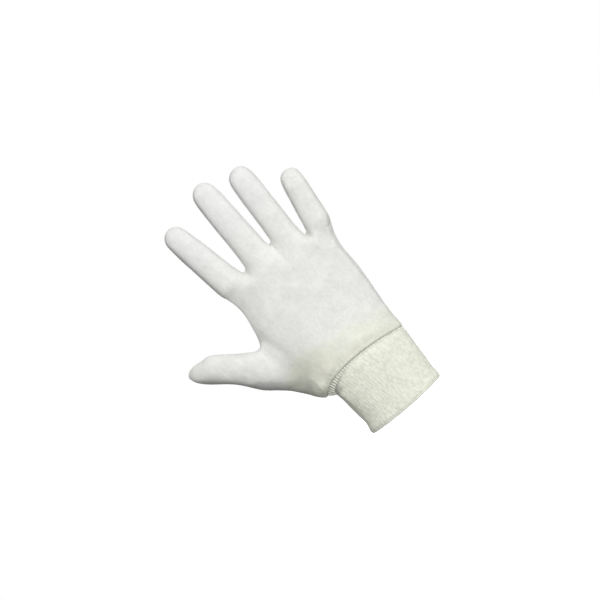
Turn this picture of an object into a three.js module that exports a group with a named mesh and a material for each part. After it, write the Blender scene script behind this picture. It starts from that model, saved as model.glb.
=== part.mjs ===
import * as THREE from 'three';

// Cotton work glove, shown filled as if worn. Sizes are in millimetres.
// The origin is the middle of the cuff's open end, +Z runs to the fingertips,
// the back of the hand faces -Y and the thumb is on the -X side.

const cuffLength = 62.3; // cuff end to the top of the arched wrist seam
const handLength = 198.5; // top of the wrist seam to the middle fingertip
const palmWidth = 112; // across the knuckles
const palmDepth = 31; // back to palm at the middle of the hand
const fingerDepth = 20; // back to palm at the middle of a finger
const thumbLength = 106; // heel of the thumb to its tip
const thumbWidth = 26;
const thumbDepth = 22;
const thumbLean = 47; // degrees away from the fingers' direction
const cuffWidth = 77;
const cuffDepth = 38;
const ribCount = 72; // ribs around the knit cuff
const ribDepth = 0.6;
const fabricWall = 1.2; // one layer of cotton jersey
const cuffWall = 2.4; // doubled rib knit
const pieceGap = 0.3; // clear space between sewn pieces
const tuckLength = 4; // cuff edge hidden inside the wrist seam
const tuckInset = 1.2; // how far the wrist seam draws the cuff in
const seamArch = 9; // rise of the wrist seam over its outer end
const seamThumbDip = 7; // how far it drops again at the thumb
const endBow = 1.2; // bow of the cuff's open end
const endTilt = 1.3; // how much lower that end lies on the little finger's side
const seamTurn = 18; // degrees the finger seams turn towards the viewer
const sideSeamShift = 2; // the same turn along the sides of the hand
const fingerCurl = 3; // how far the fingertips lean towards the palm
const thumbCurl = 5;
const knuckleFall = 8; // how much lower the knuckles lie on the little finger's side
const handSquareness = 2.4; // 2 is an ellipse, more is a flatter back and palm
const cuffSquareness = 2.1;

// Cuff outline, from its open end up to the wrist seam.
// up is a share of cuffLength, left and right of cuffWidth, depth of cuffDepth.
const cuffOutline = [
  { up: 0.0, left: -0.484, right: 0.494, depth: 1.0 },
  { up: 0.1, left: -0.49, right: 0.497, depth: 0.99 },
  { up: 0.21, left: -0.46, right: 0.495, depth: 0.97 },
  { up: 0.5, left: -0.462, right: 0.518, depth: 0.98 },
  { up: 0.77, left: -0.476, right: 0.552, depth: 1.02 },
  { up: 0.83, left: -0.575, right: 0.565, depth: 1.04 },
  { up: 0.9, left: -0.582, right: 0.56, depth: 1.04 },
  { up: 1.1, left: -0.582, right: 0.545, depth: 1.03 },
];

// Wall of the cuff, out over the ribs, round the folded end and back inside.
// up is a share of the cuff's own height, inset counts cuff walls inwards
// from the rib roots, rib is the share of the full rib and draw of the tuck.
const cuffProfile = [
  { up: 1.0, inset: 0.0, rib: 0.0, draw: 1.0 },
  { up: 0.93, inset: 0.0, rib: 0.0, draw: 1.0 },
  { up: 0.88, inset: 0.0, rib: 1.0, draw: 0.25 },
  { up: 0.82, inset: 0.0, rib: 1.0, draw: 0.0 },
  { up: 0.2, inset: 0.0, rib: 1.0, draw: 0.0 },
  { up: 0.06, inset: 0.0, rib: 1.0, draw: 0.0 },
  { up: 0.015, inset: 0.15, rib: 0.8, draw: 0.0 },
  { up: 0.0, inset: 0.5, rib: 0.3, draw: 0.0 },
  { up: 0.03, inset: 1.0, rib: 0.0, draw: 0.0 },
  { up: 0.82, inset: 1.0, rib: 0.0, draw: 0.0 },
  { up: 0.92, inset: 1.2, rib: 0.0, draw: 0.2 },
  { up: 1.0, inset: 1.0, rib: 0.0, draw: 0.6 },
];

// First row above the wrist seam: how high it lies, how far it puffs out over
// the cuff, and what is added to both at the foot of the thumb. rise and
// thumbRise are shares of handLength, puff of palmDepth, thumbPuff of thumbWidth.
const heel = { rise: 0.0353, puff: 0.0355, thumbRise: -0.008, thumbPuff: 0.16, open: 6 };

// Sections of the hand above that row, up to the knuckles.
// up is a share of handLength, left and right of palmWidth, depth of palmDepth;
// open is how many degrees of the row's left end the thumb takes up, as in heel.
const handSections = [
  { up: 0.108, left: -0.52, right: 0.404, depth: 1.27, open: 30 },
  { up: 0.2, left: -0.54, right: 0.43, depth: 1.12, open: 32 },
  { up: 0.307, left: -0.52, right: 0.457, depth: 1.04, open: 18 },
  { up: 0.39, left: -0.458, right: 0.464, depth: 1.0, open: 0 },
  { up: 0.457, left: -0.437, right: 0.478, depth: 0.96, open: 0 },
  { up: 0.516, left: -0.456, right: 0.512, depth: 0.92, open: 0 },
];

// Fingers. x and width are shares of palmWidth, base, tip and web of handLength;
// web is the bottom of the gap on the little finger's side.
const fingers = [
  { baseX: -0.354, base: 0.58, tipX: -0.432, tip: 0.944, baseWidth: 0.241, tipWidth: 0.188, web: 0.578 },
  { baseX: -0.062, base: 0.59, tipX: -0.03, tip: 1.0, baseWidth: 0.242, tipWidth: 0.204, web: 0.598 },
  { baseX: 0.199, base: 0.572, tipX: 0.263, tip: 0.944, baseWidth: 0.222, tipWidth: 0.2, web: 0.517 },
  { baseX: 0.447, base: 0.525, tipX: 0.55, tip: 0.788, baseWidth: 0.212, tipWidth: 0.168 },
];

// Sections of each finger between its base and its tip.
const fingerSections = [
  { along: 0.0, width: 0.97, depth: 1.2 },
  { along: 0.14, width: 1.0, depth: 1.08 },
  { along: 0.36, width: 1.0, depth: 1.0 },
  { along: 0.58, width: 1.01, depth: 1.0 },
  { along: 0.77, width: 0.99, depth: 0.95 },
  { along: 0.91, width: 0.82, depth: 0.72 },
];

// Sections of the thumb from its heel, each between a low and a high edge point.
// along is a share of thumbLength, off of thumbWidth from the thumb's middle line.
const thumbSections = [
  { lowAlong: 0.19, lowOff: -0.69, highAlong: 0.515, highOff: 0.575, depth: 1.22 },
  { lowAlong: 0.375, lowOff: -0.69, highAlong: 0.644, highOff: 0.52, depth: 1.14 },
  { lowAlong: 0.565, lowOff: -0.53, highAlong: 0.747, highOff: 0.5, depth: 1.03 },
  { lowAlong: 0.714, lowOff: -0.49, highAlong: 0.835, highOff: 0.45, depth: 0.98 },
  { lowAlong: 0.87, lowOff: -0.49, highAlong: 0.885, highOff: 0.31, depth: 0.84 },
];
const thumbTip = { lowAlong: 1.0, lowOff: -0.32, highAlong: 0.98, highOff: 0.06 };
const thumbHeel = { x: -0.34, up: 0.0785 }; // middle line's start, shares of palmWidth and handLength

// Folds and dents of the cloth. x, long and wide are shares of palmWidth, up of
// handLength and rise of palmDepth; turn is in degrees from the fingers' direction.
const folds = [
  { side: 'back', x: -0.505, up: 0.245, turn: 4, long: 0.179, wide: 0.054, rise: -0.02 },
  { side: 'back', x: -0.425, up: 0.12, turn: -16, long: 0.19, wide: 0.055, rise: 0.032 },
  { side: 'back', x: -0.39, up: 0.01, turn: 0, long: 0.06, wide: 0.062, rise: 0.072 },
  { side: 'back', x: -0.27, up: 0.045, turn: 70, long: 0.116, wide: 0.058, rise: 0.045 },
  { side: 'back', x: 0.318, up: 0.47, turn: 0, long: 0.08, wide: 0.045, rise: 0.016 },
  { side: 'back', x: 0.39, up: 0.4, turn: -60, long: 0.08, wide: 0.045, rise: 0.016 },
  { side: 'back', x: 0.0, up: 0.15, turn: 62, long: 0.134, wide: 0.049, rise: -0.029 },
  { side: 'back', x: 0.09, up: 0.21, turn: 55, long: 0.143, wide: 0.049, rise: -0.026 },
  { side: 'back', x: -0.09, up: 0.1, turn: 65, long: 0.107, wide: 0.049, rise: 0.029 },
  { side: 'back', x: 0.525, up: 0.737, turn: 80, long: 0.062, wide: 0.036, rise: -0.035 },
  { side: 'palm', x: -0.3, up: 0.2, turn: -18, long: 0.304, wide: 0.062, rise: -0.055 },
  { side: 'palm', x: 0.05, up: 0.355, turn: 72, long: 0.268, wide: 0.058, rise: -0.045 },
  { side: 'palm', x: 0.14, up: 0.44, turn: 98, long: 0.232, wide: 0.054, rise: -0.039 },
];
// Puckers above the wrist seam: rise is a share of fabricWall, reach of handLength.
const gathers = { waves: 16, rise: 0.42, reach: 0.05 };

const radians = (degrees) => (degrees * Math.PI) / 180;
const mix = (a, b, share) => a + (b - a) * share;
const eased = (share) => share * share * (3 - 2 * share);

// Value of one column of a table at a share between its rows.
function tableValue(rows, at, column) {
  const last = rows.length - 2;
  let i = 0;
  while (i < last && at > rows[i + 1].up) i += 1;
  const share = (at - rows[i].up) / (rows[i + 1].up - rows[i].up);
  return mix(rows[i][column], rows[i + 1][column], Math.min(Math.max(share, 0), 1));
}

// Depth of a rounded section at a share across it, -1 to 1.
function sectionRise(across, squareness) {
  const inside = 1 - Math.abs(across) ** squareness;
  return Math.max(inside, 0) ** (1 / squareness);
}

function outlinePoint(angle, squareness) {
  const c = Math.cos(angle);
  const s = Math.sin(angle);
  return {
    across: Math.sign(c) * Math.abs(c) ** (2 / squareness),
    rise: Math.sign(s) * Math.abs(s) ** (2 / squareness),
  };
}

// Height of the wrist seam at a share across the cuff, -1 to 1.
function wristSeam(across) {
  const peak = -0.25;
  const arch = seamArch * ((across - peak) / (1 - peak)) ** 2;
  return cuffLength - arch - seamThumbDip * Math.max(-across, 0) ** 6;
}

// Point on the cuff's outline at a height, moved inwards by an inset.
function cuffPoint(angle, height, inset) {
  const at = height / cuffLength;
  const left = tableValue(cuffOutline, at, 'left') * cuffWidth;
  const right = tableValue(cuffOutline, at, 'right') * cuffWidth;
  const depth = tableValue(cuffOutline, at, 'depth') * cuffDepth;
  const { across, rise } = outlinePoint(angle, cuffSquareness);
  const halfWidth = (right - left) / 2;
  const normal = new THREE.Vector2(
    Math.sign(across) * Math.abs(across) ** (cuffSquareness - 1) / halfWidth,
    -Math.sign(rise) * Math.abs(rise) ** (cuffSquareness - 1) / (depth / 2),
  ).normalize();
  return new THREE.Vector3(
    (left + right) / 2 + across * halfWidth - normal.x * inset,
    -rise * (depth / 2) - normal.y * inset,
    height,
  );
}

// Angles around the cuff that space the ribs evenly.
function evenAngles(count) {
  const steps = 1440;
  const lengths = [0];
  let before = cuffPoint(0, 0, 0);
  for (let i = 1; i <= steps; i += 1) {
    const point = cuffPoint((i / steps) * 2 * Math.PI, 0, 0);
    lengths.push(lengths[i - 1] + point.distanceTo(before));
    before = point;
  }
  const angles = [];
  let i = 0;
  for (let k = 0; k < count; k += 1) {
    const target = (k / count) * lengths[steps];
    while (lengths[i + 1] < target) i += 1;
    const share = (target - lengths[i]) / (lengths[i + 1] - lengths[i]);
    angles.push(((i + share) / steps) * 2 * Math.PI);
  }
  return angles;
}

function closedGeometry(points, quads) {
  const position = new Float32Array(points.length * 3);
  points.forEach((point, i) => point.toArray(position, i * 3));
  const index = [];
  for (const [a, b, c, d] of quads) {
    const cutAC = points[a].distanceToSquared(points[c]);
    const cutBD = points[b].distanceToSquared(points[d]);
    if (cutAC <= cutBD) index.push(a, b, c, a, c, d);
    else index.push(a, b, d, b, c, d);
  }
  const geometry = new THREE.BufferGeometry();
  geometry.setAttribute('position', new THREE.BufferAttribute(position, 3));
  geometry.setIndex(index);
  geometry.computeVertexNormals();
  return geometry;
}

function cuffGeometry() {
  const angles = evenAngles(ribCount * 2);
  const points = [];
  for (const row of cuffProfile) {
    angles.forEach((angle, i) => {
      const { across } = outlinePoint(angle, cuffSquareness);
      const bottom = endBow * across * across - endTilt * across;
      const top = wristSeam(across) + tuckLength;
      const rib = (i % 2) * ribDepth * row.rib;
      const inset = row.inset * cuffWall + row.draw * tuckInset - rib;
      points.push(cuffPoint(angle, mix(bottom, top, row.up), inset));
    });
  }
  const quads = [];
  const around = angles.length;
  for (let r = 0; r < cuffProfile.length; r += 1) {
    const next = (r + 1) % cuffProfile.length;
    for (let i = 0; i < around; i += 1) {
      const j = (i + 1) % around;
      quads.push([r * around + i, r * around + j, next * around + j, next * around + i]);
    }
  }
  return closedGeometry(points, quads);
}

// Four-sided control cage of the glove body, one side of the hand after the other.
function bodyCage() {
  const points = [];
  const quads = [];
  const add = (x, y, z) => points.push(new THREE.Vector3(x, y, z)) - 1;
  const sides = [
    { name: 'back', facing: -1 },
    { name: 'palm', facing: 1 },
  ];
  // Joins a quad so that it faces outwards on either side of the hand.
  const join = (side, a, b, c, d) => {
    quads.push({ side: side.name, corners: side.facing < 0 ? [a, b, c, d] : [d, c, b, a] });
  };

  const fingerRing = (finger, section) => {
    const width = mix(finger.baseWidth, finger.tipWidth, section.along) * section.width * palmWidth;
    const x = mix(finger.baseX, finger.tipX, section.along) * palmWidth;
    const z = cuffLength + mix(finger.base, finger.tip, section.along) * handLength;
    const y = fingerCurl * section.along ** 2;
    const lean = Math.atan2(
      (finger.tipX - finger.baseX) * palmWidth,
      (finger.tip - finger.base) * handLength,
    );
    const depth = section.depth * fingerDepth;
    const turn = radians(seamTurn) * mix(0.5, 1, Math.min(section.along / 0.14, 1));
    return (degrees) => {
      const { across, rise } = outlinePoint(radians(degrees) - turn, handSquareness);
      return add(
        x + across * (width / 2) * Math.cos(lean),
        y - rise * (depth / 2),
        z - across * (width / 2) * Math.sin(lean),
      );
    };
  };

  // Columns across the knuckles: a seam, three columns a finger, a web between fingers.
  const columnX = [];
  fingers.forEach((finger, i) => {
    const reach = outlinePoint(radians(45), handSquareness).across * finger.baseWidth * 0.5;
    columnX.push(finger.baseX - reach, finger.baseX, finger.baseX + reach);
    const next = fingers[i + 1];
    if (next) {
      const edge = finger.baseX + finger.baseWidth / 2;
      columnX.push((edge + next.baseX - next.baseWidth / 2) / 2);
    }
  });
  const columnCount = columnX.length + 1;
  const knuckles = handSections[handSections.length - 1];
  const knuckleMiddle = (knuckles.left + knuckles.right) / 2;
  const knuckleHalf = (knuckles.right - knuckles.left) / 2;
  const outermost = 0.93;
  const knuckleAcross = columnX.map((x) => {
    const across = (x - knuckleMiddle) / knuckleHalf;
    return Math.min(Math.max(across, -outermost), outermost);
  });
  knuckleAcross.unshift(-1);
  knuckleAcross.push(1);
  const isWeb = (column) => column % 4 === 0 && column > 0 && column < columnCount;

  // Rows of the hand. Each row lists its vertex numbers on the back and the palm side.
  const rows = [];
  const addRow = (place) => {
    const row = { back: [], palm: [] };
    sides.forEach((side) => {
      for (let column = 0; column <= columnCount; column += 1) {
        const shared = side.name === 'palm' && (column === 0 || column === columnCount);
        row[side.name].push(shared ? row.back[column] : place(side, column));
      }
    });
    rows.push(row);
  };
  const columnAngle = (column, open) => {
    const even = Math.PI * (1 - column / columnCount);
    if (column === 0 || column > columnCount / 2) return even;
    const share = (columnCount / 2 - column) / (columnCount / 2 - 1);
    return even - radians(open) * share;
  };
  const addCuffRow = (rise, puff, thumbRise, thumbPuff, open) => {
    const outset = pieceGap * 1.5 + fabricWall - tuckInset;
    addRow((side, column) => {
      const angle = columnAngle(column, open);
      const { across } = outlinePoint(angle, cuffSquareness);
      const thumbSide = Math.max(-across, 0) ** 12;
      const height = wristSeam(across) + rise + thumbRise * thumbSide;
      const out = outset + puff + thumbPuff * thumbSide;
      const point = cuffPoint(side.facing < 0 ? angle : -angle, height, -out);
      return add(point.x, point.y, point.z);
    });
  };
  addCuffRow(0, 0, 0, 0, 0);
  addCuffRow(
    heel.rise * handLength,
    heel.puff * palmDepth,
    heel.thumbRise * handLength,
    heel.thumbPuff * thumbWidth,
    heel.open,
  );
  handSections.forEach((section) => {
    const height = section.up / knuckles.up;
    addRow((side, column) => {
      const even = outlinePoint(columnAngle(column, section.open), cuffSquareness);
      const across = mix(even.across, knuckleAcross[column], eased(height));
      const middle = (section.left + section.right) / 2;
      const half = (section.right - section.left) / 2;
      const valley = isWeb(column) ? 1 - 0.08 * height ** 8 : 1;
      const rise = sectionRise(across, mix(cuffSquareness, handSquareness, height)) * valley;
      const onSeam = column === 0 || column === columnCount;
      const seamShift = onSeam ? sideSeamShift * across : 0;
      const base = section.up * handLength + mix(wristSeam(across), cuffLength, eased(height));
      return add(
        (middle + across * half) * palmWidth,
        side.facing * rise * section.depth * (palmDepth / 2) + seamShift,
        base - knuckleFall * height ** 2 * (across + 0.3),
      );
    });
  });

  // The thumb opens the side seam along the rows that give it some of their left end.
  const opens = [0, heel.open, ...handSections.map((section) => section.open)];
  const low = opens.findIndex((open) => open > 0);
  const high = opens.findLastIndex((open) => open > 0);
  for (let r = 0; r < rows.length - 1; r += 1) {
    sides.forEach((side) => {
      const a = rows[r][side.name];
      const b = rows[r + 1][side.name];
      for (let c = 0; c < columnCount; c += 1) {
        const opensToThumb = c === 0 && r >= low && r < high;
        if (!opensToThumb) join(side, a[c], a[c + 1], b[c + 1], b[c]);
      }
    });
  }

  // Fingers grow from the last row; neighbours share the web point between them.
  const top = rows[rows.length - 1];
  const webs = fingers.slice(0, -1).map((finger, i) => {
    const x = columnX[i * 4 + 3] * palmWidth;
    return add(x, 0, cuffLength + finger.web * handLength);
  });
  fingers.forEach((finger, f) => {
    const rings = fingerSections.map((section, s) => {
      const place = fingerRing(finger, section);
      const left = s === 0 && f > 0 ? webs[f - 1] : place(180);
      const right = s === 0 && f < webs.length ? webs[f] : place(0);
      return {
        back: [left, place(135), place(90), place(45), right],
        palm: [left, place(225), place(270), place(315), right],
      };
    });
    const lean = (finger.tipX - finger.baseX) * palmWidth;
    const tip = add(
      finger.tipX * palmWidth + lean * 0.02,
      fingerCurl,
      cuffLength + finger.tip * handLength,
    );
    sides.forEach((side) => {
      const start = f * 4;
      const below = top[side.name].slice(start, start + 5);
      const base = rings[0][side.name];
      for (let c = 0; c < 4; c += 1) join(side, below[c], below[c + 1], base[c + 1], base[c]);
      for (let s = 0; s < rings.length - 1; s += 1) {
        const a = rings[s][side.name];
        const b = rings[s + 1][side.name];
        for (let c = 0; c < 4; c += 1) join(side, a[c], a[c + 1], b[c + 1], b[c]);
      }
      const end = rings[rings.length - 1][side.name];
      join(side, end[0], end[1], end[2], tip);
      join(side, tip, end[2], end[3], end[4]);
    });
  });

  // The thumb grows from the gap left in the side seam.
  const lean = radians(thumbLean);
  const thumbPoint = (along, off, y) => add(
    thumbHeel.x * palmWidth - Math.sin(lean) * along * thumbLength + Math.cos(lean) * off * thumbWidth,
    y + thumbCurl * along ** 2,
    cuffLength + thumbHeel.up * handLength
      + Math.cos(lean) * along * thumbLength + Math.sin(lean) * off * thumbWidth,
  );
  const edges = high - low + 2;
  const rim = (name) => {
    const column = [];
    for (let r = low; r <= high; r += 1) column.push(rows[r][name][1]);
    return [rows[low].back[0], ...column, rows[high].back[0]];
  };
  const thumbRings = [{ back: rim('back'), palm: rim('palm') }];
  thumbSections.forEach((section) => {
    const place = (side, step) => {
      const angle = Math.PI * (1 - step / edges);
      const { across, rise } = outlinePoint(angle, handSquareness);
      const share = (across + 1) / 2;
      const y = side.facing * rise * section.depth * (thumbDepth / 2);
      return thumbPoint(
        mix(section.lowAlong, section.highAlong, share),
        mix(section.lowOff, section.highOff, share),
        y,
      );
    };
    const ring = { back: [], palm: [] };
    sides.forEach((side) => {
      for (let step = 0; step <= edges; step += 1) {
        const shared = side.name === 'palm' && (step === 0 || step === edges);
        ring[side.name].push(shared ? ring.back[step] : place(side, step));
      }
    });
    thumbRings.push(ring);
  });
  const tipLow = thumbPoint(thumbTip.lowAlong, thumbTip.lowOff, 0);
  const tipHigh = thumbPoint(thumbTip.highAlong, thumbTip.highOff, 0);
  sides.forEach((side) => {
    for (let s = 0; s < thumbRings.length - 1; s += 1) {
      const a = thumbRings[s][side.name];
      const b = thumbRings[s + 1][side.name];
      for (let c = 0; c < edges; c += 1) join(side, a[c + 1], b[c + 1], b[c], a[c]);
    }
    const end = thumbRings[thumbRings.length - 1][side.name];
    join(side, end[2], tipLow, end[0], end[1]);
    join(side, end[3], tipHigh, tipLow, end[2]);
    join(side, end[5], tipHigh, end[3], end[4]);
  });
  return { points, quads };
}

// One step of smoothing: every quad becomes four and its corners round off.
function smoothed(cage) {
  const { points, quads } = cage;
  const middle = (list) => {
    const sum = list.reduce((total, point) => total.add(point), new THREE.Vector3());
    return sum.divideScalar(list.length);
  };
  const facePoints = quads.map((quad) => middle(quad.corners.map((i) => points[i])));
  const edges = new Map();
  const around = points.map(() => ({ faces: [], edges: [] }));
  quads.forEach((quad, f) => {
    quad.corners.forEach((a, k) => {
      const b = quad.corners[(k + 1) % 4];
      const key = a < b ? `${a},${b}` : `${b},${a}`;
      if (!edges.has(key)) {
        edges.set(key, { ends: [a, b], faces: [] });
        around[a].edges.push(key);
        around[b].edges.push(key);
      }
      edges.get(key).faces.push(f);
      around[a].faces.push(f);
    });
  });
  const result = [];
  points.forEach((point, i) => {
    const rimEdges = around[i].edges.filter((key) => edges.get(key).faces.length === 1);
    if (rimEdges.length > 0) {
      const mids = rimEdges.map((key) => middle(edges.get(key).ends.map((end) => points[end])));
      result.push(point.clone().add(middle(mids)).divideScalar(2));
      return;
    }
    const n = around[i].edges.length;
    const faceMean = middle(around[i].faces.map((f) => facePoints[f]));
    const edgeMean = middle(
      around[i].edges.map((key) => middle(edges.get(key).ends.map((end) => points[end]))),
    );
    const sum = faceMean.addScaledVector(edgeMean, 2).addScaledVector(point, n - 3);
    result.push(sum.divideScalar(n));
  });
  const edgeNumber = new Map();
  edges.forEach((edge, key) => {
    edgeNumber.set(key, result.length);
    const ends = edge.ends.map((end) => points[end]);
    const faces = edge.faces.length === 2 ? edge.faces.map((f) => facePoints[f]) : [];
    result.push(middle([...ends, ...faces]));
  });
  const fine = [];
  quads.forEach((quad, f) => {
    const centre = result.push(facePoints[f]) - 1;
    quad.corners.forEach((a, k) => {
      const b = quad.corners[(k + 1) % 4];
      const d = quad.corners[(k + 3) % 4];
      const ahead = edgeNumber.get(a < b ? `${a},${b}` : `${b},${a}`);
      const behind = edgeNumber.get(a < d ? `${a},${d}` : `${d},${a}`);
      fine.push({ side: quad.side, corners: [a, ahead, centre, behind] });
    });
  });
  return { points: result, quads: fine };
}

// Swells the cage until the smoothed skin passes through the section points.
function fittedSkin(cage) {
  const targets = cage.points.map((point) => point.clone());
  const swollen = { points: cage.points.map((point) => point.clone()), quads: cage.quads };
  const passes = 4;
  for (let pass = 0; pass < passes; pass += 1) {
    const skin = smoothed(swollen);
    swollen.points.forEach((point, i) => {
      point.add(targets[i].clone().sub(skin.points[i]).multiplyScalar(0.8));
    });
  }
  return smoothed(swollen);
}

function skinNormals(skin) {
  const normals = skin.points.map(() => new THREE.Vector3());
  skin.quads.forEach(({ corners }) => {
    const [a, b, c, d] = corners.map((i) => skin.points[i]);
    const normal = c.clone().sub(a).cross(d.clone().sub(b));
    corners.forEach((i) => normals[i].add(normal));
  });
  return normals.map((normal) => normal.normalize());
}

// Height of all folds and gathers at a point on one side of the skin.
function foldRise(point, facing) {
  let rise = 0;
  folds.forEach((fold) => {
    const matches = (fold.side === 'back' ? -1 : 1) * facing;
    const across = point.x - fold.x * palmWidth;
    const up = point.z - cuffLength - fold.up * handLength;
    const turn = radians(fold.turn);
    const along = across * Math.sin(turn) + up * Math.cos(turn);
    const aside = across * Math.cos(turn) - up * Math.sin(turn);
    const fade = Math.exp(
      -((along / (fold.long * palmWidth)) ** 2) - (aside / (fold.wide * palmWidth)) ** 2,
    );
    rise += fold.rise * palmDepth * fade * Math.min(Math.max(matches * 2, 0), 1);
  });
  const hem = wristSeam(Math.min(Math.max(point.x / (cuffWidth / 2), -1), 1));
  const above = (point.z - hem) / (gathers.reach * handLength);
  const wave = Math.sin(gathers.waves * Math.atan2(point.y * 2, point.x));
  const pucker = Math.max(above, 0) * Math.exp(1 - 2 * Math.max(above, 0));
  return rise + gathers.rise * fabricWall * wave * pucker;
}

// One sewn half of the body: outer skin, inner skin and the rim between them.
function panelGeometry(skin, normals, name) {
  const facing = name === 'back' ? -1 : 1;
  const mine = skin.quads.filter((quad) => quad.side === name);
  const others = new Set();
  skin.quads.forEach((quad) => {
    if (quad.side !== name) quad.corners.forEach((i) => others.add(i));
  });
  const number = new Map();
  const points = [];
  mine.forEach((quad) => quad.corners.forEach((i) => {
    if (number.has(i)) return;
    number.set(i, points.length);
    const shift = new THREE.Vector3(0, others.has(i) ? (facing * pieceGap) / 2 : 0, 0);
    const outer = skin.points[i].clone().add(shift);
    const inner = outer.clone().addScaledVector(normals[i], -fabricWall);
    points.push(outer, inner);
  }));
  const quads = [];
  const walls = new Map();
  mine.forEach((quad) => {
    const outer = quad.corners.map((i) => number.get(i));
    quads.push(outer, outer.map((i) => i + 1).reverse());
    outer.forEach((a, k) => {
      const b = outer[(k + 1) % 4];
      if (walls.has(`${b},${a}`)) walls.delete(`${b},${a}`);
      else walls.set(`${a},${b}`, [b, a, a + 1, b + 1]);
    });
  });
  quads.push(...walls.values());
  return closedGeometry(points, quads);
}

function foldedSkin() {
  const skin = fittedSkin(bodyCage());
  const normals = skinNormals(skin);
  skin.points.forEach((point, i) => {
    point.addScaledVector(normals[i], foldRise(point, normals[i].y));
  });
  return skin;
}

const jerseyLook = { color: 0xe6e7e1, roughness: 0.95, metalness: 0 };
const ribKnitLook = { color: 0xe0e1d2, roughness: 0.95, metalness: 0 };

const skin = foldedSkin();
const normals = skinNormals(skin);

const backPanel = new THREE.Mesh(
  panelGeometry(skin, normals, 'back'),
  new THREE.MeshStandardMaterial({ name: 'cotton_jersey', ...jerseyLook }),
);
backPanel.name = 'back_panel';

const palmPanel = new THREE.Mesh(
  panelGeometry(skin, normals, 'palm'),
  new THREE.MeshStandardMaterial({ name: 'cotton_jersey', ...jerseyLook }),
);
palmPanel.name = 'palm_panel';

const knitCuff = new THREE.Mesh(
  cuffGeometry(),
  new THREE.MeshStandardMaterial({ name: 'rib_knit', ...ribKnitLook }),
);
knitCuff.name = 'knit_cuff';

const group = new THREE.Group();
group.name = 'cotton_work_glove';
group.add(backPanel, palmPanel, knitCuff);

export default group;
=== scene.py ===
import math

import bmesh
import bpy
import numpy as np
from mathutils import Matrix, Vector, kdtree, noise
from mathutils.bvhtree import BVHTree


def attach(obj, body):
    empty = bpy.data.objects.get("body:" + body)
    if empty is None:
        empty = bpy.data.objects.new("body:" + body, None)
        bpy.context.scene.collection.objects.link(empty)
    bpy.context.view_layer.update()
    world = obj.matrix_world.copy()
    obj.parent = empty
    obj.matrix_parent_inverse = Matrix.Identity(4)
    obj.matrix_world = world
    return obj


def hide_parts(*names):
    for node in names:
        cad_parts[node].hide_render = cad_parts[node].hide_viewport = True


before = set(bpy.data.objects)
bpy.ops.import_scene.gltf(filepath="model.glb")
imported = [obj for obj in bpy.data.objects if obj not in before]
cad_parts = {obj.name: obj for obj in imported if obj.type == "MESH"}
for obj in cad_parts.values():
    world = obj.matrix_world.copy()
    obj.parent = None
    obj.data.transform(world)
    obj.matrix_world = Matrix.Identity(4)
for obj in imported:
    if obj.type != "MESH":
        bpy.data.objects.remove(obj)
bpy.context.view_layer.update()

MM = 0.001
SKIN_LEVEL = 3
FACING = {"back": -1, "palm": 1}  # the way that each panel faces along Y
OTHER = {"back": "palm", "palm": "back"}

# Smoothing
FIT_STEP = 0.85  # share of the misfit that one pass of fitting takes off
FIT_PASSES = 4
RELAX_STEP = 0.6  # share of the way to its neighbours' middle that a point goes in one pass
DIP_PASSES = 5
GATHER_PASSES = 30
CUFF_PASSES = 9

# Sizes, in millimetres
CLOTH_WALL = 1.2
SEAM_GROOVE = 0.75  # how deep the side seams are drawn in
SEAM_WIDTH = 1.3
SEAM_TURN = 1.3  # cloth turned in along a side seam
SEAM_REACH = 0.6  # an edge this near to the other panel is sewn to it
STITCH_PITCH = 3.0
PUCKER = 0.16  # puckers between the stitches of a side seam
PUCKER_WIDTH = 2.6
HEM_DRAW = 0.6  # how far the wrist seam draws the edge of the jersey in
HEM_WIDTH = 0.8
HEM_TURN = 0.5  # cloth turned in at the wrist seam, past its own wall
HEM_PITCH = 4.2
HEM_PUCKER = 0.12
HEM_PUCKER_WIDTH = 5.5
GATHER_EASE = 14.0  # how far above the wrist seam its gathers are eased
DIP_EASE = 11.0  # how far around the thumb's dip the cloth is drawn flatter
WRINKLE = 0.08  # wrinkles across the bends of the fingers
WRINKLE_PITCH = 4.6
WRINKLE_SPAN = 5.5
THREAD = 0.8  # width of a stitch of the wrist seam, of a few strands
OVERLOCK_PITCH = 2.6
OVERLOCK_REACH = 2.1  # how far the stitches reach over the cuff
LADDER_REACH = 5.8  # how much further they reach beside the thumb
LADDER_START = -12.0  # x from where they reach further
LADDER_SPAN = 30.0
CUFF_FOLD = 2.6  # height of the pressed line above the cuff's folded end
CUFF_FLATNESS = 3.0  # how much more Y weighs than X in telling the outside of the cuff's oval
LONG_EDGE = 14.0  # upright edges of the cuff longer than this are cut finely
SHORT_EDGE = 6.0  # and those between the two lengths more coarsely
HEEL_MIDDLE = 72.0  # height of the heel's broad folds
HEEL_SPAN = 26.0
FINGERS_FROM = 168.0  # above this height the cloth is smoother
FIRST_STITCH = 1.0  # place of the first stitch along the wrist seam
STITCH_SLANT = 0.7  # how far a stitch runs along the seam over its length
NOTCH = 1.6  # how far the cuff is drawn in under the heel of the thumb
NOTCH_HEIGHT = 49.0

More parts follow.
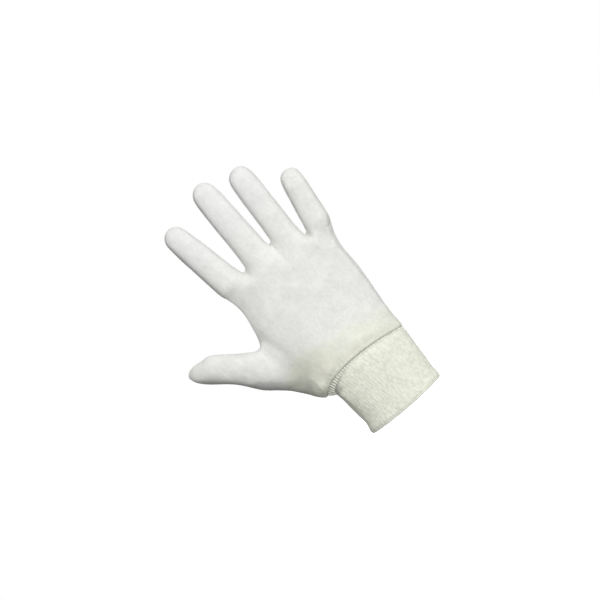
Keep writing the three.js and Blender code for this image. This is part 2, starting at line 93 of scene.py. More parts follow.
# Creases and ridges of the cloth, seen from the back of the hand: points are
# (x, z) of the crease, width is its half width and rise its height.
CREASES = [
    {"side": "back", "points": [(-60, 126), (-57.5, 111), (-55, 95)], "width": 3.6, "rise": -0.55},
    {"side": "back", "points": [(-66, 123), (-63, 111), (-62, 102)], "width": 3.4, "rise": 0.25},
    {"side": "back", "points": [(-56, 64), (-52, 70), (-49, 76)], "width": 4.0, "rise": -0.45},
    {"side": "back", "points": [(53.5, 204.5), (58.5, 208.5), (64.5, 206)], "width": 1.1, "rise": -0.55},
    {"side": "back", "points": [(52.5, 200), (57, 203.5), (61, 202.5)], "width": 1.3, "rise": 0.25},
    {"side": "back", "points": [(60, 160.5), (55.5, 157.5), (52, 158.5)], "width": 1.1, "rise": -0.5},
    {"side": "back", "points": [(49, 148), (47.3, 145.5)], "width": 1.2, "rise": -0.6},
    {"side": "back", "points": [(36, 161), (35.7, 152), (40, 145), (49, 140)], "width": 1.5, "rise": 0.22},
    {"side": "back", "points": [(-16, 85), (-2, 90), (12, 91)], "width": 1.9, "rise": -0.28},
    {"side": "back", "points": [(-8, 94), (6, 98), (20, 97)], "width": 2.0, "rise": -0.25},
    {"side": "back", "points": [(2, 81), (16, 84), (28, 83)], "width": 1.8, "rise": -0.22},
    {"side": "back", "points": [(-24, 103), (-12, 110), (2, 113)], "width": 2.2, "rise": -0.2},
    {"side": "back", "points": [(22, 71), (33, 74), (41, 73)], "width": 1.6, "rise": -0.25},
    {"side": "back", "points": [(-84, 120), (-78, 111), (-77, 103)], "width": 2.6, "rise": -0.2},
    {"side": "back", "points": [(-98, 132), (-93, 125), (-93, 119)], "width": 2.2, "rise": -0.2},
    {"side": "palm", "points": [(-60, 126), (-56, 109), (-50, 94)], "width": 2.8, "rise": -0.8},
    {"side": "palm", "points": [(-44, 123), (-22, 111), (-16, 91), (-18, 75)], "width": 2.6, "rise": -0.6},
    {"side": "palm", "points": [(-36, 140), (-8, 136), (24, 131), (44, 129)], "width": 2.4, "rise": -0.5},
    {"side": "palm", "points": [(-30, 154), (0, 148), (30, 145), (48, 146)], "width": 2.2, "rise": -0.4},
    {"side": "palm", "points": [(-12, 83), (4, 87), (20, 85)], "width": 1.9, "rise": -0.35},
    {"side": "palm", "points": [(8, 103), (22, 107), (38, 104)], "width": 2.2, "rise": -0.3},
]

# Bends of the fingers, where the cloth wrinkles across: (x, z), half length.
KNUCKLES = [
    {"x": -42.5, "z": 203, "half": 13}, {"x": -46, "z": 227, "half": 12},
    {"x": -6, "z": 209, "half": 13}, {"x": -4.3, "z": 236, "half": 12},
    {"x": 24.5, "z": 202, "half": 12}, {"x": 27.5, "z": 226, "half": 11},
    {"x": 54, "z": 183, "half": 11}, {"x": 58, "z": 200, "half": 10},
]

# Soft fills of the back: (x, z), radii along x and z, rise.
SWELLS = [
    {"x": -23.5, "z": 169, "wide": 4.5, "tall": 8.0, "rise": 1.5},
    {"x": 7.8, "z": 171, "wide": 4.0, "tall": 8.0, "rise": 1.5},
    {"x": 38.0, "z": 156, "wide": 4.5, "tall": 7.0, "rise": 1.2},
    {"x": -45.5, "z": 62, "wide": 9.0, "tall": 9.0, "rise": 1.2},
    {"x": -33, "z": 66, "wide": 7.0, "tall": 6.5, "rise": 0.4},
]

# Uneven cloth as layers of noise: rise is the height, size the room that a wave
# takes along x, y and z, and part the part of the glove that has it.
JERSEY_LAYERS = [
    {"rise": 0.20, "size": (13, 13, 13), "seed": 0, "part": "all"},
    {"rise": 0.10, "size": (6, 6, 4.5), "seed": 5, "part": "all"},
    {"rise": 0.07, "size": (2.6, 2.6, 2.2), "seed": 9, "part": "all"},
    {"rise": 0.55, "size": (24, 24, 7), "seed": 13, "part": "heel"},
    {"rise": 0.12, "size": (11, 11, 20), "seed": 17, "part": "hand"},
]
JERSEY_SEED = {"back": 3.7, "palm": 11.3}
CUFF_LAYERS = [
    {"rise": 0.22, "size": (12, 12, 20), "seed": 21, "part": "all"},
    {"rise": 0.12, "size": (3.2, 3.2, 4), "seed": 25, "part": "all"},
    {"rise": 0.17, "size": (1.7, 1.7, 1.6), "seed": 29, "part": "all"},
]

# The dip between thumb and hand, from the thumb's web towards the heel.
THUMB_DIP = [(-53, 106), (-48, 97), (-43, 86)]

# The underside of the thumb, which is given a band of painted shade, and the way it faces in x and z.
UNDER_THUMB = [(-80, 97), (-63, 79), (-53, 67)]
UNDER_FACES = (-0.682, -0.731)

# Soft spots of painted shade, and of cream tint: (x, z) and radii along x and z.
HEEL_SHADE = {"x": -50, "z": 83, "wide": 24, "tall": 18}
THUMB_TIP_SHADE = {"x": -109, "z": 127, "wide": 10, "tall": 10}
HEEL_CREAM = {"x": -46, "z": 76, "wide": 26, "tall": 22}
NOTCH_SHADE = {"x": -33, "z": 51, "wide": 4, "tall": 3}

# Light and camera: places in metres, lens and sensor in millimetres
LENS = 100
SENSOR = 36
PAPER = (0.3, 0.3, 0.295, 1)
PAPER_GLOW = 0.9
SKY_LIGHT = (0.15, 0.69)  # on the dim side and on the bright side
SKY_SPREAD = (-0.55, 0.75)  # cosines to the bright side between which the light grows
LIGHTS = [
    {"name": "key", "place": (0.9, -1.1, 0.75), "size": 0.9, "power": 4.6},
    {"name": "fill", "place": (0.3, -1.6, 0.4), "size": 1.0, "power": 14.4},
    {"name": "back", "place": (0.1, 1.7, 0.35), "size": 1.2, "power": 14.0},
]
LIGHT_TARGET = (0, 0, 0.12)
BRIGHT_SIDE = (0.78, -0.45, 0.5)
CAMERA_PLACE = (-0.0056, -1.417, 0.1286)
CAMERA_AXES = [(0.731, 0, -0.682), (0.682, 0, 0.731), (0, -1, 0)]  # right, up and back
FLOOR_RADIUS = 6.0
FLOOR_HEIGHT = -0.12


# Mesh helpers
def cad_copy(node):
    """A CAD node's mesh, welded, with its split quads joined again."""
    bm = bmesh.new()
    bm.from_mesh(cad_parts[node].data)
    bmesh.ops.remove_doubles(bm, verts=bm.verts[:], dist=0.02 * MM)
    bmesh.ops.join_triangles(
        bm, faces=bm.faces[:],
        angle_face_threshold=math.radians(50), angle_shape_threshold=math.radians(100),
    )
    bm.faces.ensure_lookup_table()
    return bm


def skin_from(seed):
    """The faces joined to a first one without crossing a sharp edge."""
    found, queue = {seed}, [seed]
    while queue:
        for edge in queue.pop().edges:
            if len(edge.link_faces) != 2 or edge.calc_face_angle() > math.radians(60):
                continue
            for face in edge.link_faces:
                if face not in found:
                    found.add(face)
                    queue.append(face)
    return found


def points_and_faces(faces):
    """The faces as an array of points and lists of point numbers."""
    number, points, corners = {}, [], []
    for face in sorted(faces, key=lambda f: f.index):
        for vert in face.verts:
            if vert not in number:
                number[vert] = len(points)
                points.append(tuple(vert.co))
        corners.append([number[vert] for vert in face.verts])
    return np.array(points), corners


def subdivided(points, faces, level):
    """The smooth subdivision of a skin."""
    mesh = bpy.data.meshes.new("work")
    mesh.from_pydata([tuple(p) for p in points], [], faces)
    holder = bpy.data.objects.new("work", mesh)
    bpy.context.scene.collection.objects.link(holder)
    modifier = holder.modifiers.new("subdivide", "SUBSURF")
    modifier.levels = modifier.render_levels = level
    graph = bpy.context.evaluated_depsgraph_get()
    fine = bpy.data.meshes.new_from_object(holder.evaluated_get(graph))
    result = np.empty(len(fine.vertices) * 3)
    fine.vertices.foreach_get("co", result)
    polygons = [tuple(p.vertices) for p in fine.polygons]
    bpy.data.objects.remove(holder)
    bpy.data.meshes.remove(mesh)
    bpy.data.meshes.remove(fine)
    return result.reshape(-1, 3), polygons


def fitted(points, faces, level, passes=FIT_PASSES):
    """A smooth finer skin that, after a few passes, goes through the coarse points."""
    cage = points.copy()
    for _ in range(passes):
        fine, _ = subdivided(cage, faces, 1)
        cage += FIT_STEP * (points - fine[: len(points)])
    return subdivided(cage, faces, level)


def unit(vectors):
    return vectors / np.maximum(np.linalg.norm(vectors, axis=1, keepdims=True), 1e-12)


def normals_of(points, faces):
    normals = np.zeros_like(points)
    quads = np.array([f if len(f) == 4 else (*f, f[0]) for f in faces])
    a, b, c, d = (points[quads[:, k]] for k in range(4))
    cross = np.cross(c - a, d - b)
    for k in range(4):
        np.add.at(normals, quads[:, k], cross)
    return unit(normals)


def relaxed(points, faces, weight, passes):
    """Each point drawn towards the middle of its neighbours, by its weight."""
    pairs = {(min(a, b), max(a, b)) for f in faces for a, b in zip(f, (*f[1:], f[0]))}
    pairs = np.array(sorted(pairs))
    a, b = pairs[:, 0], pairs[:, 1]
    count = np.bincount(a, minlength=len(points)) + np.bincount(b, minlength=len(points))
    points = points.copy()
    for _ in range(passes):
        total = np.stack([
            np.bincount(a, points[b, k], len(points)) + np.bincount(b, points[a, k], len(points))
            for k in range(3)
        ], axis=1)
        points += RELAX_STEP * weight[:, None] * (total / count[:, None] - points)
    return points


def edge_loops(faces):
    """The open edges of a skin as closed rings of vertex numbers."""
    directed = {(a, b): True for face in faces for a, b in zip(face, (*face[1:], face[0]))}
    follow = {a: b for (a, b) in directed if (b, a) not in directed}
    rings = []
    while follow:
        start, at = next(iter(follow.items()))
        ring = [start]
        del follow[start]
        while at != start:
            ring.append(at)
            at = follow.pop(at)
        rings.append(ring)
    return rings


def strip_faces(ring, start, rows):
    """Quads from a ring of points to rows of as many points, numbered from start on."""
    n = len(ring)
    numbers = [ring] + [list(range(start + k * n, start + (k + 1) * n)) for k in range(rows)]
    faces = []
    for upper, lower in zip(numbers, numbers[1:]):
        for i in range(n):
            j = (i + 1) % n
            faces.append((upper[j], upper[i], lower[i], lower[j]))
    return faces


def tree_of(points):
    tree = kdtree.KDTree(len(points))
    for i, p in enumerate(points):
        tree.insert(p, i)
    tree.balance()
    return tree


def add_object(name, points, faces, slot, replaces=None, finish=None, **attributes):
    """A smooth mesh that rides on the part, with a number for each point in each attribute."""
    mesh = bpy.data.meshes.new(name)
    mesh.from_pydata([tuple(p) for p in points], [], faces)
    mesh.polygons.foreach_set("use_smooth", [True] * len(mesh.polygons))
    for attribute, values in attributes.items():
        layer = mesh.attributes.new(attribute, "FLOAT", "POINT")
        layer.data.foreach_set("value", np.clip(values, 0, 1))
    obj = bpy.data.objects.new(name, mesh)
    bpy.context.scene.collection.objects.link(obj)
    obj.data.materials.append(MATERIALS[finish or slot])
    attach(obj, "root")
    if replaces:
        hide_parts(replaces)


# Soft shapes in the plane of the hand
def bell(distance, width):
    """1 at no distance, falling softly to nearly 0 at twice the width."""
    return np.exp(-((distance / width) ** 2))


def spot(x, z, place):
    return bell(x - place["x"], place["wide"]) * bell(z - place["z"], place["tall"])


def ramp(value, start, span):
    """0 up to the start, rising evenly to 1 over the span; a span below 0 rises downwards."""
    return np.clip((value - start) / span, 0, 1)


def line_distance(x, z, points):
    """Distance to a polyline in the plane of the hand, and the share along it."""
    best = np.full(len(x), 1e9)
    share = np.zeros(len(x))
    for k in range(len(points) - 1):
        (ax, az), (bx, bz) = points[k], points[k + 1]
        dx, dz = bx - ax, bz - az
        t = np.clip(((x - ax) * dx + (z - az) * dz) / (dx * dx + dz * dz), 0, 1)
        d = np.hypot(x - ax - t * dx, z - az - t * dz)
        closer = d < best
        best = np.where(closer, d, best)
        share = np.where(closer, (k + t) / (len(points) - 1), share)
    return best, share


def noise_field(points, size, seed):
    sx, sy, sz = size
    return np.array([
        noise.noise(Vector((p[0] / sx + seed, p[1] / sy - seed, p[2] / sz + 2 * seed))) for p in points / MM
    ])


def uneven(points, layers, parts, seed=0):
    """The summed height of layers of noise, each over its own part of the glove."""
    rise = np.zeros(len(points))
    for layer in layers:
        waves = noise_field(points, layer["size"], seed + layer["seed"])
        rise += layer["rise"] * parts[layer["part"]] * waves
    return rise


# Materials
CREAM = (0.985, 0.995, 0.875, 1)
MOTTLE_SCALE = 90
FLECK_SCALE = 430
FUZZ_SCALE = 1500
YARN_RELIEF = 0.14  # height of the yarn, in millimetres


def add_node(tree, kind, **settings):
    node = tree.nodes.new(kind)
    for name, value in settings.items():
        setattr(node, name, value)
    return node


def combined(tree, operation, first, second):
    node = add_node(tree, "ShaderNodeMath", operation=operation)
    tree.links.new(first, node.inputs[0])
    tree.links.new(second, node.inputs[1])
    return node.outputs["Value"]


def mapped(tree, value, start, end, low=0.0, high=1.0):
    """The value, mapped from low and high to start and end."""
    node = add_node(tree, "ShaderNodeMapRange")
    for name, number in (("From Min", low), ("From Max", high), ("To Min", start), ("To Max", end)):
        node.inputs[name].default_value = number
    tree.links.new(value, node.inputs["Value"])
    return node.outputs["Result"]


def painted(tree, name):
    """The number that each point of a piece carries under this name."""
    return add_node(tree, "ShaderNodeAttribute", attribute_name=name).outputs["Fac"]


def noise_of(tree, place, scale, detail, stretch=(1, 1, 1)):
    mapping = add_node(tree, "ShaderNodeMapping")
    mapping.inputs["Scale"].default_value = stretch
    tree.links.new(place, mapping.inputs["Vector"])
    node = add_node(tree, "ShaderNodeTexNoise")
    node.inputs["Scale"].default_value = scale
    node.inputs["Detail"].default_value = detail
    tree.links.new(mapping.outputs["Vector"], node.inputs["Vector"])
    return node.outputs["Fac"]


def cloth_colour(tree, place, light, dark, mottle, flecked, darkest_shade):
    """Broad mottling, the cream tint, fine flecks of the yarn and the painted shade."""
    colours = add_node(tree, "ShaderNodeValToRGB")
    ends = colours.color_ramp.elements
    ends[0].position, ends[1].position = 0.5 - mottle, 0.5 + mottle
    ends[0].color, ends[1].color = (*dark, 1), (*light, 1)
    tree.links.new(noise_of(tree, place, MOTTLE_SCALE, 4), colours.inputs["Fac"])
    creamy = add_node(tree, "ShaderNodeMix", data_type="RGBA", blend_type="MULTIPLY")
    creamy.inputs["B"].default_value = CREAM
    tree.links.new(painted(tree, "cream"), creamy.inputs["Factor"])
    tree.links.new(colours.outputs["Color"], creamy.inputs["A"])
    fine = noise_of(tree, place, FLECK_SCALE, 3, stretch=(1, 1, 0.6))
    flecks = mapped(tree, fine, flecked, 1.0, low=0.36, high=0.62)
    # Painted shade: the shade attribute darkens the colour down to the darkest shade.
    painted_shade_factor = mapped(tree, painted(tree, "shade"), 1.0, darkest_shade)
    tint = add_node(tree, "ShaderNodeVectorMath", operation="SCALE")
    tree.links.new(creamy.outputs["Result"], tint.inputs[0])
    tree.links.new(combined(tree, "MULTIPLY", flecks, painted_shade_factor), tint.inputs["Scale"])
    return tint.outputs["Vector"]


def cloth_relief(tree, place, pitch):
    """Knitted columns and rows, with the fuzz of the yarn over them."""
    bands = []
    for direction, apart in zip(("X", "Z"), pitch):
        wave = add_node(tree, "ShaderNodeTexWave", wave_type="BANDS", bands_direction=direction)
        wave.inputs["Scale"].default_value = math.pi / 10 / (apart * MM)
        wave.inputs["Distortion"].default_value = 0.9
        wave.inputs["Detail"].default_value = 1
        tree.links.new(place, wave.inputs["Vector"])
        bands.append(wave.outputs["Fac"])
    weave = combined(tree, "MULTIPLY", *bands)
    bump = add_node(tree, "ShaderNodeBump")
    bump.inputs["Strength"].default_value = 0.5
    bump.inputs["Distance"].default_value = YARN_RELIEF * MM
    fuzz = noise_of(tree, place, FUZZ_SCALE, 4)
    tree.links.new(combined(tree, "ADD", weave, fuzz), bump.inputs["Height"])
    return bump.outputs["Normal"]


def cloth_material(name, light, dark, rough, mottle, flecked, pitch, darkest_shade):
    material = bpy.data.materials.new(name)
    material.use_nodes = True
    tree = material.node_tree
    tree.nodes.clear()
    out = add_node(tree, "ShaderNodeOutputMaterial")
    shader = add_node(tree, "ShaderNodeBsdfPrincipled")
    shader.inputs["Roughness"].default_value = rough
    shader.inputs["Specular IOR Level"].default_value = 0.15
    shader.inputs["Sheen Weight"].default_value = 0.22
    shader.inputs["Sheen Roughness"].default_value = 0.45
    place = add_node(tree, "ShaderNodeTexCoord").outputs["Object"]
    colour = cloth_colour(tree, place, light, dark, mottle, flecked, darkest_shade)
    tree.links.new(colour, shader.inputs["Base Color"])
    tree.links.new(cloth_relief(tree, place, pitch), shader.inputs["Normal"])
    tree.links.new(shader.outputs["BSDF"], out.inputs["Surface"])
    return material


MATERIALS = {
    "cotton_jersey": cloth_material(
        "cotton_jersey", light=(0.812, 0.817, 0.805), dark=(0.767, 0.77, 0.757),
        rough=0.96, mottle=0.13, flecked=0.945, pitch=(1.5, 1.25), darkest_shade=0.62),
    "rib_knit": cloth_material(
        "rib_knit", light=(0.85, 0.864, 0.752), dark=(0.803, 0.816, 0.703),
        rough=0.94, mottle=0.12, flecked=0.88, pitch=(1.45, 1.4), darkest_shade=0.42),
    "sewing_thread": cloth_material(
        "sewing_thread", light=(0.93, 0.94, 0.87), dark=(0.88, 0.89, 0.82),
        rough=0.85, mottle=0.2, flecked=0.96, pitch=(0.9, 0.9), darkest_shade=0.62),
}


# Jersey panels
def panel_skins(side):
    """The outer and the inner skin of a panel, without the rim between them."""
    bm = cad_copy(f"{side}_panel")
    outer = skin_from(max(bm.faces, key=lambda f: FACING[side] * f.calc_center_median().y))
    rim = {f for face in outer for e in face.edges for f in e.link_faces} - outer
    inner = set(bm.faces) - outer - rim
    result = points_and_faces(outer), points_and_faces(inner)
    bm.free()
    return result


def eased_thumb(points, faces):
    """The outer skin with the dip between thumb and hand drawn flatter."""
    distance, _ = line_distance(points[:, 0] / MM, points[:, 2] / MM, THUMB_DIP)
    weight = bell(distance, DIP_EASE)
    weight[[i for ring in edge_loops(faces) for i in ring]] = 0
    return relaxed(points, faces, weight, DIP_PASSES), faces


SKINS = {side: panel_skins(side) for side in FACING}
FINE = {
    "back": fitted(*eased_thumb(*SKINS["back"][0]), SKIN_LEVEL),
    "palm": fitted(*SKINS["palm"][0], SKIN_LEVEL),
}
INSIDE = {side: subdivided(*skins[1], 1) for side, skins in SKINS.items()}
RINGS = {side: max(edge_loops(faces), key=len) for side, (_, faces) in FINE.items()}
RIM_TREES = {side: tree_of(FINE[side][0][RINGS[side]]) for side in FINE}


def seam_distances(points, rim, on_seam):
    """Each point's distance from the side seams, its place along them, and the same for the hem."""
    step = np.linalg.norm(np.roll(rim, -1, 0) - rim, axis=1)
    arc = np.concatenate([[0], np.cumsum(step)[:-1]])
    result = []
    for chosen in (on_seam, ~on_seam):
        tree = tree_of(rim[chosen])
        nearest = [tree.find(p) for p in points]
        result.append(np.array([d for _, _, d in nearest]) / MM)
        result.append(arc[chosen][[k for _, k, _ in nearest]] / MM)
    return result


def fine_relief(points, normals, side):
    """Soft unevenness, stronger over the heel and the hand, with the wrinkles, swells and creases."""
    x, z = points[:, 0] / MM, points[:, 2] / MM
    hand = 1 / (1 + np.exp((z - FINGERS_FROM) / 6))
    parts = {"all": 1, "heel": bell(z - HEEL_MIDDLE, HEEL_SPAN), "hand": hand}
    rise = uneven(points, JERSEY_LAYERS, parts, JERSEY_SEED[side])
    for bend in KNUCKLES:
        fade = np.exp(-((np.abs(x - bend["x"]) / bend["half"]) ** 4)) * bell(z - bend["z"], WRINKLE_SPAN)
        rise -= WRINKLE * fade * np.cos((z - bend["z"]) * 2 * math.pi / WRINKLE_PITCH + 0.25 * x)
    toward = np.clip(normals[:, 1] * FACING[side] * 2.5, 0, 1)
    if side == "back":
        for swell in SWELLS:
            rise += swell["rise"] * toward * spot(x, z, swell)
    for crease in CREASES:
        if crease["side"] == side:
            distance, share = line_distance(x, z, crease["points"])
            taper = np.clip(np.minimum(share, 1 - share) * 5 + 0.25, 0, 1)
            rise += crease["rise"] * taper * toward * bell(distance, crease["width"])
    return rise


def seam_relief(u_seam, s_seam, u_hem, s_hem):
    """The grooves of the side seams and the wrist seam, with the puckers between their stitches."""
    stitch = np.cos(s_seam * 2 * math.pi / STITCH_PITCH)
    gather = np.cos(s_hem * 2 * math.pi / HEM_PITCH + 1.3 * np.sin(s_hem * 0.31))
    rise = -SEAM_GROOVE * bell(u_seam, SEAM_WIDTH) - HEM_DRAW * bell(u_hem, HEM_WIDTH)
    rise += PUCKER * stitch * bell(u_seam, PUCKER_WIDTH) * (1 - bell(u_seam, 0.7))
    rise += HEM_PUCKER * gather * bell(u_hem, HEM_PUCKER_WIDTH) * (1 - bell(u_hem, 1.2))
    return rise


def hem_fade(x):
    """The strength of the wrist seam's shade, which halves towards the little finger's side."""
    return 1 - 0.5 * ramp(x, 5, 30)


def jersey_painted_shade(x, z, normals, u_seam, u_hem):
    """Painted shade along the seam grooves and the wrist seam, on the heel, on the underside of the thumb
    and at its tip, and a little towards the little finger's side.
    """
    # Painted shade in the grooves of the side seams and in the crevice of the wrist seam.
    shade = 0.45 * bell(u_seam, 0.55) + 0.12 * bell(u_seam, 1.6)
    shade = np.maximum(shade, 0.75 * hem_fade(x) * bell(u_hem, 0.7))
    # Painted shade on the heel of the thumb, kept off the wrist seam, and on the thumb's underside where it
    # faces down and away from the light, with a band along it.
    away = 1 - bell(u_hem, 11)
    under = np.clip(UNDER_FACES[0] * normals[:, 0] + UNDER_FACES[1] * normals[:, 2], 0, 1)
    under *= ramp(x, -36, -8) * ramp(z, 146, -15)
    band, _ = line_distance(x, z, UNDER_THUMB)
    shade += 0.6 * away * spot(x, z, HEEL_SHADE) + 0.45 * (1 + away) * under + away * bell(band, 5)
    # Painted shade at the thumb's tip, and darker towards the little finger's side.
    shade += 0.3 * spot(x, z, THUMB_TIP_SHADE) + 0.08 * ramp(x, 20, 20)
    return shade


def jersey_cream(points, x, z, u_hem):
    """Cream by the wrist and the heel of the thumb, fading to the cooler tips of the long fingers."""
    cream = 1.15 - u_hem / 26 + 0.35 * noise_field(points, (15, 15, 9), 41) + 1.1 * spot(x, z, HEEL_CREAM)
    tips = ramp(z, 190, 35) * ramp(x, 45, -10)
    return np.clip(cream, 0, 1) + 0.2 * (1 - tips)


def turned_edge(base, normals, outward, across, on_seam):
    """Rows of points that turn the edge in, at a side seam also towards the other panel."""
    shift = np.where(on_seam[:, None], across / 2, outward * 0.2 * MM)
    depth = np.where(on_seam, SEAM_TURN, CLOTH_WALL - HEM_DRAW + HEM_TURN)[:, None]
    steps = ((0.7, 0.12), (1, 0.4), (1, depth))  # share of the shift, and how far in
    return [base + share * shift - normals * sunk * MM for share, sunk in steps]


def dressed_panel(side):
    """Makes a jersey panel, and returns its edge at the wrist seam."""
    points, faces = FINE[side]
    ring = RINGS[side]
    rim = points[ring]
    nearest = [RIM_TREES[OTHER[side]].find(p) for p in rim]
    across = np.array([p for p, _, _ in nearest]) - rim
    on_seam = np.array([d < SEAM_REACH * MM for _, _, d in nearest])
    u_seam, s_seam, u_hem, s_hem = seam_distances(points, rim, on_seam)

    # The gathers above the wrist seam are eased, then the cloth gets its fine relief.
    ease = 0.8 * bell(u_hem, GATHER_EASE) * ramp(u_hem, 0, 1.5) * ramp(u_seam, 0, 3)
    points = relaxed(points, faces, ease, GATHER_PASSES)
    normals = normals_of(points, faces)
    quiet = 1 - bell(np.minimum(u_seam, u_hem), 2.5)
    rise = quiet * fine_relief(points, normals, side) + seam_relief(u_seam, s_seam, u_hem, s_hem)
    moved = points + normals * (rise * MM)[:, None]
    x, z = points[:, 0] / MM, points[:, 2] / MM
    shade = jersey_painted_shade(x, z, normals, u_seam, u_hem)
    cream = jersey_cream(points, x, z, u_hem)

    base, rim_normals = moved[ring], normals[ring]
    outward = unit(np.cross(unit(np.roll(rim, -1, 0) - np.roll(rim, 1, 0)), rim_normals))
    rows = turned_edge(base, rim_normals, outward, across, on_seam)
    inside, inside_faces = INSIDE[side]
    start = len(moved) + len(rows) * len(ring)
    inside_faces = [tuple(start + i for i in face) for face in inside_faces]
    # Painted shade on the turned-in rows of the edge, deepest in the crevice of the wrist seam, and on the
    # inner skin inside the glove.
    turned = np.where(on_seam, 0.55, 0.9 * hem_fade(x[ring]))
    add_object(
        f"jersey_{side}",
        np.vstack([moved, *rows, inside]),
        [*faces, *strip_faces(ring, len(moved), len(rows)), *inside_faces],
        "cotton_jersey", f"{side}_panel",
        shade=np.concatenate([shade, shade[ring] + 0.1, turned, turned, np.full(len(inside), 0.1)]),
        cream=np.concatenate([cream, np.tile(cream[ring], len(rows)), np.full(len(inside), 0.3)]),
    )
    edge = base[~on_seam]
    steps = np.linalg.norm(np.diff(edge, axis=0), axis=1)
    steps = np.where(steps > 3 * MM, 0, steps)
    return {
        "points": edge, "normals": rim_normals[~on_seam], "outward": outward[~on_seam],
        "arc": np.concatenate([[0], np.cumsum(steps)]) / MM,
    }


HEMS = [dressed_panel("back"), dressed_panel("palm")]


# Rib knit cuff
def ladder_share(x):
    """How far the overlocked band of the wrist seam has widened, towards the thumb."""
    return ramp(x, LADDER_START, -LADDER_SPAN) ** 1.5


def overlock_reach(x):
    """How far the stitches of the wrist seam reach over the cuff."""
    return OVERLOCK_REACH + LADDER_REACH * ladder_share(x)


def faces_out(place, normal):
    """Whether the cuff's oval wall faces outwards at a place."""
    return normal[0] * place[0] + normal[1] * place[1] * CUFF_FLATNESS > 0


def cuff_skin():
    """The cuff's mesh with its long outer quads cut up, then made finer and smooth."""
    bm = cad_copy("knit_cuff")
    outer = [e for e in bm.edges if all(faces_out(v.co, v.normal) for v in e.verts)]
    rise_of = {e: abs(e.verts[0].co.z - e.verts[1].co.z) / MM for e in outer}
    tall = [e for e, rise in rise_of.items() if rise > LONG_EDGE]
    middling = [e for e, rise in rise_of.items() if SHORT_EDGE < rise < LONG_EDGE]
    bmesh.ops.subdivide_edges(bm, edges=tall, cuts=10, use_grid_fill=True)
    bmesh.ops.subdivide_edges(bm, edges=middling, cuts=2, use_grid_fill=True)
    bm.faces.ensure_lookup_table()
    points, faces = points_and_faces(bm.faces)
    bm.free()
    points, faces = fitted(points, faces, 2, 0)
    return relaxed(points, faces, np.ones(len(points)), CUFF_PASSES), faces


def cuff_shade(points, x, z, outside, up):
    """Painted shade at the pressed line, the folded end, inside the cuff and in the notch, and between the
    stitches of the wrist seam.
    """
    hem_tree = tree_of(np.vstack([hem["points"] for hem in HEMS]))
    nearest = [hem_tree.find(p) for p in points]
    arc = np.concatenate([hem["arc"] for hem in HEMS])[[k for _, k, _ in nearest]]
    from_hem = np.array([d for _, _, d in nearest]) / MM
    band = ladder_share(x)
    gap = 0.5 - 0.5 * np.cos((arc - FIRST_STITCH) * 2 * math.pi / OVERLOCK_PITCH)
    past = from_hem - overlock_reach(x)
    # Painted shade at the pressed line and the folded end outside, and inside the cuff.
    shade = np.where(outside, 0.15 * bell(up - CUFF_FOLD, 0.7) + 0.45 * bell(up, 0.8), 0.1)
    # Painted shade in the notch under the heel of the thumb.
    shade += 0.8 * spot(x, z, NOTCH_SHADE)
    # Painted shade between the stitches and along the end of their widened band.
    shade += (0.45 + 0.65 * band) * gap / (1 + np.exp(past / 0.35))
    shade += np.sqrt(band) * bell(past - 0.3, 1.1)
    return shade


def dressed_cuff():
    """Makes the cuff, and returns its surface for the stitches to lie on."""
    points, faces = cuff_skin()
    normals = normals_of(points, faces)
    x, y, z = (points / MM).T
    outside = faces_out((x, y), (normals[:, 0], normals[:, 1]))
    across = np.cos(np.arctan2(y * 2, x - 1.5))
    up = z - (1.2 * across ** 2 - 1.3 * across)
    rise = uneven(points, CUFF_LAYERS, {"all": 1})
    rise += np.where(outside, 0.2 * bell(up - 0.9, 1.0) - 0.25 * bell(up - CUFF_FOLD, 0.7), 0)
    quiet = np.clip((up - 0.2) / 2, 0.15, 1)
    moved = points + normals * (rise * quiet * MM)[:, None]
    moved[:, 0] += NOTCH * MM * bell(z - NOTCH_HEIGHT, 2.3) * ramp(x, -34, -5)
    shade = cuff_shade(moved, x, z, outside, up)
    add_object("rib_cuff", moved, faces, "rib_knit", "knit_cuff", shade=shade)
    return BVHTree.FromPolygons([tuple(p) for p in moved], faces)


CUFF_TREE = dressed_cuff()


# Sewing thread
def thread_mesh(paths, radius, sides=6):
    """Short lengths of thread, each a tube along its own few points."""
    points, faces = [], []
    for path in paths:
        path = np.array(path)
        start = len(points)
        for k, p in enumerate(path):
            ahead = path[min(k + 1, len(path) - 1)] - path[max(k - 1, 0)]
            ahead = ahead / np.linalg.norm(ahead)
            side = np.cross(ahead, (0.31, 0.87, 0.38))
            side /= np.linalg.norm(side)
            up = np.cross(side, ahead)
            size = radius * (0.55 if k in (0, len(path) - 1) else 1)
            for j in range(sides):
                turn = 2 * math.pi * j / sides
                points.append(p + size * (math.cos(turn) * side + math.sin(turn) * up))
        for k in range(len(path) - 1):
            for j in range(sides):
                a, b = start + k * sides + j, start + k * sides + (j + 1) % sides
                faces.append((a, b, b + sides, a + sides))
        faces.append(tuple(start + j for j in reversed(range(sides))))
        last = start + (len(path) - 1) * sides
        faces.append(tuple(last + j for j in range(sides)))
    return np.array(points), faces


def smooth_path(points, steps=3):
    """More points on a path, by a Catmull-Rom curve."""
    p = [points[0], *points, points[-1]]
    result = []
    for k in range(1, len(p) - 2):
        for s in range(steps):
            t = s / steps
            result.append(0.5 * (
                2 * p[k] + (p[k + 1] - p[k - 1]) * t
                + (2 * p[k - 1] - 5 * p[k] + 4 * p[k + 1] - p[k + 2]) * t * t
                + (3 * p[k] - p[k - 1] - 3 * p[k + 1] + p[k + 2]) * t ** 3
            ))
    result.append(points[-1])
    return result


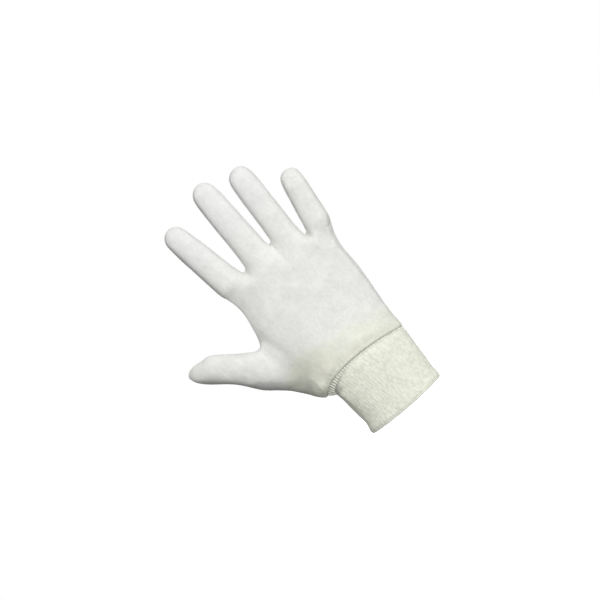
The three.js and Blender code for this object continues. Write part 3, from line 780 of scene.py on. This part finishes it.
def stitch_path(place, normal, outward):
    """One stitch, from under the edge of the jersey slantwise over the cuff."""
    reach = overlock_reach(place[0] / MM) * MM
    side = np.cross(normal, outward) * STITCH_SLANT * MM
    path = [place + outward * 0.1 * MM - normal * 0.5 * MM]
    for along in (0.2, 0.45, 0.75, 1.0):
        foot, foot_normal, _, _ = CUFF_TREE.find_nearest(Vector(place + outward * reach * along))
        foot_normal = np.array(foot_normal) * (1 if np.array(foot_normal) @ normal > 0 else -1)
        path.append(np.array(foot) + foot_normal * THREAD * 0.35 * MM + side * (along - 0.5))
    return smooth_path(path)


def wrist_stitches():
    paths = []
    for hem in HEMS:
        for s in np.arange(FIRST_STITCH, hem["arc"][-1], OVERLOCK_PITCH):
            k = int(np.searchsorted(hem["arc"], s))
            paths.append(stitch_path(hem["points"][k], hem["normals"][k], hem["outward"][k]))
    points, faces = thread_mesh(paths, THREAD / 2 * MM)
    shade = np.zeros(len(points))
    add_object("wrist_stitches", points, faces, "rib_knit", finish="sewing_thread", shade=shade)


wrist_stitches()


# Stage, light and camera
def mixed_for_camera(tree, seen, lighting, out):
    """What the camera sees straight on, and what gives light to the rest."""
    path = add_node(tree, "ShaderNodeLightPath")
    mix = add_node(tree, "ShaderNodeMixShader")
    tree.links.new(path.outputs["Is Camera Ray"], mix.inputs["Fac"])
    tree.links.new(lighting, mix.inputs[1])
    tree.links.new(seen, mix.inputs[2])
    tree.links.new(mix.outputs[0], out.inputs["Surface"])


def stage_material():
    """A pale floor that reads as white paper, and throws little light back."""
    material = bpy.data.materials.new("studio_floor")
    material.use_nodes = True
    tree = material.node_tree
    tree.nodes.clear()
    out = add_node(tree, "ShaderNodeOutputMaterial")
    paper = add_node(tree, "ShaderNodeBsdfDiffuse")
    paper.inputs["Color"].default_value = PAPER
    glow = add_node(tree, "ShaderNodeEmission")
    glow.inputs["Strength"].default_value = PAPER_GLOW
    both = add_node(tree, "ShaderNodeAddShader")
    tree.links.new(paper.outputs[0], both.inputs[0])
    tree.links.new(glow.outputs[0], both.inputs[1])
    mixed_for_camera(tree, both.outputs[0], paper.outputs[0], out)
    return material


def make_stage():
    bm = bmesh.new()
    bmesh.ops.create_circle(bm, cap_ends=True, segments=64, radius=FLOOR_RADIUS)
    mesh = bpy.data.meshes.new("floor")
    bm.to_mesh(mesh)
    bm.free()
    floor = bpy.data.objects.new("floor", mesh)
    floor.location = (0, 0, FLOOR_HEIGHT)
    bpy.context.scene.collection.objects.link(floor)
    mesh.materials.append(stage_material())


def make_world():
    """White to the eye; as a light, bright from the upper right and front, dim from the left."""
    world = bpy.data.worlds.new("studio")
    bpy.context.scene.world = world
    world.use_nodes = True
    tree = world.node_tree
    tree.nodes.clear()
    out = add_node(tree, "ShaderNodeOutputWorld")
    toward = add_node(tree, "ShaderNodeVectorMath", operation="DOT_PRODUCT")
    toward.inputs[1].default_value = Vector(BRIGHT_SIDE).normalized()
    tree.links.new(add_node(tree, "ShaderNodeTexCoord").outputs["Generated"], toward.inputs[0])
    strength = mapped(tree, toward.outputs["Value"], *SKY_LIGHT, *SKY_SPREAD)
    strength.node.interpolation_type = "SMOOTHSTEP"
    light = add_node(tree, "ShaderNodeBackground")
    white = add_node(tree, "ShaderNodeBackground")
    for background in (light, white):
        background.inputs["Color"].default_value = (1, 1, 1, 1)
    tree.links.new(strength, light.inputs["Strength"])
    mixed_for_camera(tree, white.outputs[0], light.outputs[0], out)


def area_light(name, place, size, power):
    data = bpy.data.lights.new(name, "AREA")
    data.shape = "SQUARE"
    data.size = size
    data.energy = power
    light = bpy.data.objects.new(name, data)
    light.location = place
    direction = Vector(LIGHT_TARGET) - Vector(place)
    light.rotation_euler = direction.to_track_quat("-Z", "Y").to_euler()
    bpy.context.scene.collection.objects.link(light)


def make_camera():
    data = bpy.data.cameras.new("camera")
    data.lens = LENS
    data.sensor_width = SENSOR
    camera = bpy.data.objects.new("camera", data)
    turn = Matrix([Vector(axis) for axis in CAMERA_AXES]).transposed().to_4x4()
    camera.matrix_world = Matrix.Translation(CAMERA_PLACE) @ turn
    bpy.context.scene.collection.objects.link(camera)
    bpy.context.scene.camera = camera


make_stage()
make_world()
for lamp in LIGHTS:
    area_light(**lamp)
make_camera()
bpy.context.scene.view_settings.view_transform = "Standard"
